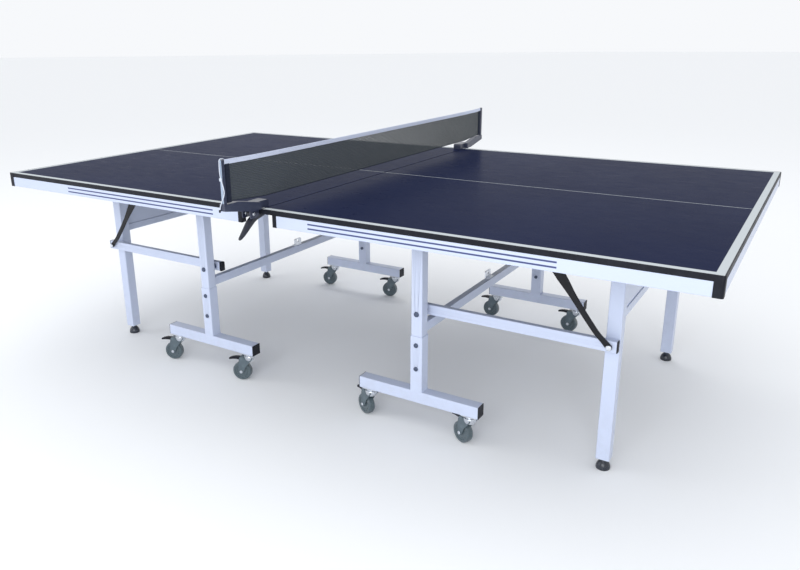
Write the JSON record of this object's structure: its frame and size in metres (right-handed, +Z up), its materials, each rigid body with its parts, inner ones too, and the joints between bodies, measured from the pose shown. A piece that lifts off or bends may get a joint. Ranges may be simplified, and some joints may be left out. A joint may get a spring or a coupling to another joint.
{
  "type": "table tennis table",
  "caption": "Folding table tennis table: two halves on wheeled T frames with folding legs, link arms and a clip-on net.",
  "frame": {"origin": "on the floor under the middle of the table", "axes": "+X along the table's length, +Y across it, +Z up"},
  "size_m": [2.742, 1.8683, 0.9462],
  "materials": {
    "board": "satin",
    "white_steel": "satin",
    "black_plastic": "satin",
    "zinc": "satin",
    "black_steel": "satin",
    "rubber_foot": "matte",
    "wheel_grey": "satin",
    "navy_steel": "satin",
    "net_fabric": "matte",
    "white_fabric": "matte"
  },
  "bodies": {
    "left_chassis": {"left_near_t_frame": "white_steel", "left_far_t_frame": "white_steel", "left_cross_rail": "white_steel", "left_chassis_caps": "black_plastic", "left_chassis_fittings": "zinc"},
    "left_top": {"left_panel": "board", "left_edge_trim": "black_plastic", "left_top_frame": "white_steel", "near_net_clamp": "navy_steel", "far_net_clamp": "navy_steel", "net_mesh": "net_fabric", "net_band": "white_fabric", "net_cord": "white_fabric"},
    "left_legs": {"left_leg_frame": "white_steel", "left_leg_bolts": "zinc"},
    "left_levelling_feet": {"left_feet": "rubber_foot"},
    "left_link_arms": {"left_arms": "white_steel", "left_arm_caps": "black_plastic"},
    "left_strut_pair": {"left_struts": "black_steel"},
    "left_near_inner_caster": {"left_near_inner_fork": "zinc"},
    "left_near_inner_roller": {"left_near_inner_wheel": "wheel_grey"},
    "left_near_inner_brake": {"left_near_inner_pedal": "black_plastic"},
    "left_near_outer_caster": {"left_near_outer_fork": "zinc"},
    "left_near_outer_roller": {"left_near_outer_wheel": "wheel_grey"},
    "left_near_outer_brake": {"left_near_outer_pedal": "black_plastic"},
    "left_far_inner_caster": {"left_far_inner_fork": "zinc"},
    "left_far_inner_roller": {"left_far_inner_wheel": "wheel_grey"},
    "left_far_inner_brake": {"left_far_inner_pedal": "black_plastic"},
    "left_far_outer_caster": {"left_far_outer_fork": "zinc"},
    "left_far_outer_roller": {"left_far_outer_wheel": "wheel_grey"},
    "left_far_outer_brake": {"left_far_outer_pedal": "black_plastic"},
    "right_chassis": {"right_near_t_frame": "white_steel", "right_far_t_frame": "white_steel", "right_cross_rail": "white_steel", "right_chassis_caps": "black_plastic", "right_chassis_fittings": "zinc"},
    "right_top": {"right_panel": "board", "right_edge_trim": "black_plastic", "right_top_frame": "white_steel"},
    "right_legs": {"right_leg_frame": "white_steel", "right_leg_bolts": "zinc"},
    "right_levelling_feet": {"right_feet": "rubber_foot"},
    "right_link_arms": {"right_arms": "white_steel", "right_arm_caps": "black_plastic"},
    "right_strut_pair": {"right_struts": "black_steel"},
    "right_near_inner_caster": {"right_near_inner_fork": "zinc"},
    "right_near_inner_roller": {"right_near_inner_wheel": "wheel_grey"},
    "right_near_inner_brake": {"right_near_inner_pedal": "black_plastic"},
    "right_near_outer_caster": {"right_near_outer_fork": "zinc"},
    "right_near_outer_roller": {"right_near_outer_wheel": "wheel_grey"},
    "right_near_outer_brake": {"right_near_outer_pedal": "black_plastic"},
    "right_far_inner_caster": {"right_far_inner_fork": "zinc"},
    "right_far_inner_roller": {"right_far_inner_wheel": "wheel_grey"},
    "right_far_inner_brake": {"right_far_inner_pedal": "black_plastic"},
    "right_far_outer_caster": {"right_far_outer_fork": "zinc"},
    "right_far_outer_roller": {"right_far_outer_wheel": "wheel_grey"},
    "right_far_outer_brake": {"right_far_outer_pedal": "black_plastic"},
    "near_clamp_lever": {"near_net_lever": "black_plastic"},
    "far_clamp_lever": {"far_net_lever": "black_plastic"}
  },
  "joints": [
    {"name": "halves_roll_apart", "type": "slide", "parent": "left_chassis", "child": "right_chassis", "axis": [1, 0, 0], "range_m": [0, 1]},
    {"name": "left_fold", "type": "hinge", "parent": "left_chassis", "child": "left_top", "pos_m": [-0.472, 0, 0.712], "axis": [0, 1, 0], "range_deg": [0, 90], "deforming": ["net_mesh", "net_band"]},
    {"name": "left_leg_fold", "type": "hinge", "parent": "left_top", "child": "left_legs", "pos_m": [-1.072, 0, 0.712], "axis": [0, -1, 0], "range_deg": [0, 90]},
    {"name": "left_arm_swing", "type": "hinge", "parent": "left_chassis", "child": "left_link_arms", "pos_m": [-0.472, 0, 0.429], "axis": [0, 1, 0], "range_deg": [0, 90]},
    {"name": "left_strut_swing", "type": "hinge", "parent": "left_link_arms", "child": "left_strut_pair", "pos_m": [-1.072, 0, 0.429], "axis": [0, 1, 0], "range_deg": [0, 53.4]},
    {"name": "left_feet_screw", "type": "slide", "parent": "left_legs", "child": "left_levelling_feet", "axis": [0, 0, -1], "range_m": [0, 0.012]},
    {"name": "left_near_inner_swivel", "type": "hinge", "parent": "left_chassis", "child": "left_near_inner_caster", "pos_m": [-0.282, -0.56, 0.1], "axis": [0, 0, 1], "continuous": true},
    {"name": "left_near_inner_roll", "type": "hinge", "parent": "left_near_inner_caster", "child": "left_near_inner_roller", "pos_m": [-0.31207, -0.57095, 0.0375], "axis": [-0.342, 0.9397, 0], "continuous": true},
    {"name": "left_near_inner_brake_press", "type": "hinge", "parent": "left_near_inner_caster", "child": "left_near_inner_brake", "pos_m": [-0.30831, -0.56958, 0.089], "axis": [0.342, -0.9397, 0], "range_deg": [0, 12]},
    {"name": "left_near_outer_swivel", "type": "hinge", "parent": "left_chassis", "child": "left_near_outer_caster", "pos_m": [-0.662, -0.56, 0.1], "axis": [0, 0, 1], "continuous": true},
    {"name": "left_near_outer_roll", "type": "hinge", "parent": "left_near_outer_caster", "child": "left_near_outer_roller", "pos_m": [-0.69207, -0.57095, 0.0375], "axis": [-0.342, 0.9397, 0], "continuous": true},
    {"name": "left_near_outer_brake_press", "type": "hinge", "parent": "left_near_outer_caster", "child": "left_near_outer_brake", "pos_m": [-0.68831, -0.56958, 0.089], "axis": [0.342, -0.9397, 0], "range_deg": [0, 12]},
    {"name": "left_far_inner_swivel", "type": "hinge", "parent": "left_chassis", "child": "left_far_inner_caster", "pos_m": [-0.282, 0.56, 0.1], "axis": [0, 0, 1], "continuous": true},
    {"name": "left_far_inner_roll", "type": "hinge", "parent": "left_far_inner_caster", "child": "left_far_inner_roller", "pos_m": [-0.3133, 0.55335, 0.0375], "axis": [-0.2079, 0.9781, 0], "continuous": true},
    {"name": "left_far_inner_brake_press", "type": "hinge", "parent": "left_far_inner_caster", "child": "left_far_inner_brake", "pos_m": [-0.30939, 0.55418, 0.089], "axis": [0.2079, -0.9781, 0], "range_deg": [0, 12]},
    {"name": "left_far_outer_swivel", "type": "hinge", "parent": "left_chassis", "child": "left_far_outer_caster", "pos_m": [-0.662, 0.56, 0.1], "axis": [0, 0, 1], "continuous": true},
    {"name": "left_far_outer_roll", "type": "hinge", "parent": "left_far_outer_caster", "child": "left_far_outer_roller", "pos_m": [-0.6933, 0.55335, 0.0375], "axis": [-0.2079, 0.9781, 0], "continuous": true},
    {"name": "left_far_outer_brake_press", "type": "hinge", "parent": "left_far_outer_caster", "child": "left_far_outer_brake", "pos_m": [-0.68939, 0.55418, 0.089], "axis": [0.2079, -0.9781, 0], "range_deg": [0, 12]},
    {"name": "right_fold", "type": "hinge", "parent": "right_chassis", "child": "right_top", "pos_m": [0.472, 0, 0.712], "axis": [0, -1, 0], "range_deg": [0, 90]},
    {"name": "right_leg_fold", "type": "hinge", "parent": "right_top", "child": "right_legs", "pos_m": [1.072, 0, 0.712], "axis": [0, 1, 0], "range_deg": [0, 90]},
    {"name": "right_arm_swing", "type": "hinge", "parent": "right_chassis", "child": "right_link_arms", "pos_m": [0.472, 0, 0.429], "axis": [0, -1, 0], "range_deg": [0, 90]},
    {"name": "right_strut_swing", "type": "hinge", "parent": "right_link_arms", "child": "right_strut_pair", "pos_m": [1.072, 0, 0.429], "axis": [0, -1, 0], "range_deg": [0, 53.4]},
    {"name": "right_feet_screw", "type": "slide", "parent": "right_legs", "child": "right_levelling_feet", "axis": [0, 0, -1], "range_m": [0, 0.012]},
    {"name": "right_near_inner_swivel", "type": "hinge", "parent": "right_chassis", "child": "right_near_inner_caster", "pos_m": [0.282, -0.56, 0.1], "axis": [0, 0, 1], "continuous": true},
    {"name": "right_near_inner_roll", "type": "hinge", "parent": "right_near_inner_caster", "child": "right_near_inner_roller", "pos_m": [0.25277, -0.54698, 0.0375], "axis": [0.4067, 0.9135, 0], "continuous": true},
    {"name": "right_near_inner_brake_press", "type": "hinge", "parent": "right_near_inner_caster", "child": "right_near_inner_brake", "pos_m": [0.25642, -0.54861, 0.089], "axis": [-0.4067, -0.9135, 0], "range_deg": [0, 12]},
    {"name": "right_near_outer_swivel", "type": "hinge", "parent": "right_chassis", "child": "right_near_outer_caster", "pos_m": [0.662, -0.56, 0.1], "axis": [0, 0, 1], "continuous": true},
    {"name": "right_near_outer_roll", "type": "hinge", "parent": "right_near_outer_caster", "child": "right_near_outer_roller", "pos_m": [0.63277, -0.54698, 0.0375], "axis": [0.4067, 0.9135, 0], "continuous": true},
    {"name": "right_near_outer_brake_press", "type": "hinge", "parent": "right_near_outer_caster", "child": "right_near_outer_brake", "pos_m": [0.63642, -0.54861, 0.089], "axis": [-0.4067, -0.9135, 0], "range_deg": [0, 12]},
    {"name": "right_far_inner_swivel", "type": "hinge", "parent": "right_chassis", "child": "right_far_inner_caster", "pos_m": [0.282, 0.56, 0.1], "axis": [0, 0, 1], "continuous": true},
    {"name": "right_far_inner_roll", "type": "hinge", "parent": "right_far_inner_caster", "child": "right_far_inner_roller", "pos_m": [0.25012, 0.56279, 0.0375], "axis": [0.0872, 0.9962, 0], "continuous": true},
    {"name": "right_far_inner_brake_press", "type": "hinge", "parent": "right_far_inner_caster", "child": "right_far_inner_brake", "pos_m": [0.25411, 0.56244, 0.089], "axis": [-0.0872, -0.9962, 0], "range_deg": [0, 12]},
    {"name": "right_far_outer_swivel", "type": "hinge", "parent": "right_chassis", "child": "right_far_outer_caster", "pos_m": [0.662, 0.56, 0.1], "axis": [0, 0, 1], "continuous": true},
    {"name": "right_far_outer_roll", "type": "hinge", "parent": "right_far_outer_caster", "child": "right_far_outer_roller", "pos_m": [0.63012, 0.56279, 0.0375], "axis": [0.0872, 0.9962, 0], "continuous": true},
    {"name": "right_far_outer_brake_press", "type": "hinge", "parent": "right_far_outer_caster", "child": "right_far_outer_brake", "pos_m": [0.63411, 0.56244, 0.089], "axis": [-0.0872, -0.9962, 0], "range_deg": [0, 12]},
    {"name": "near_clamp_open", "type": "hinge", "parent": "left_top", "child": "near_clamp_lever", "pos_m": [-0.0255, -0.79, 0.748], "axis": [-1, 0, 0], "range_deg": [0, 20], "stiffness_Nm_per_rad": 0.8, "springref_deg": -20.05},
    {"name": "far_clamp_open", "type": "hinge", "parent": "left_top", "child": "far_clamp_lever", "pos_m": [-0.0255, 0.79, 0.748], "axis": [1, 0, 0], "range_deg": [0, 20], "stiffness_Nm_per_rad": 0.8, "springref_deg": -20.05}
  ],
  "couplings": [
    {"joint": "left_leg_fold", "follows": "left_fold", "ratio": 1},
    {"joint": "left_arm_swing", "follows": "left_fold", "ratio": 1},
    {"joint": "left_strut_swing", "follows": "left_fold", "ratio": 0.592},
    {"joint": "right_leg_fold", "follows": "right_fold", "ratio": 1},
    {"joint": "right_arm_swing", "follows": "right_fold", "ratio": 1},
    {"joint": "right_strut_swing", "follows": "right_fold", "ratio": 0.592}
  ]
}
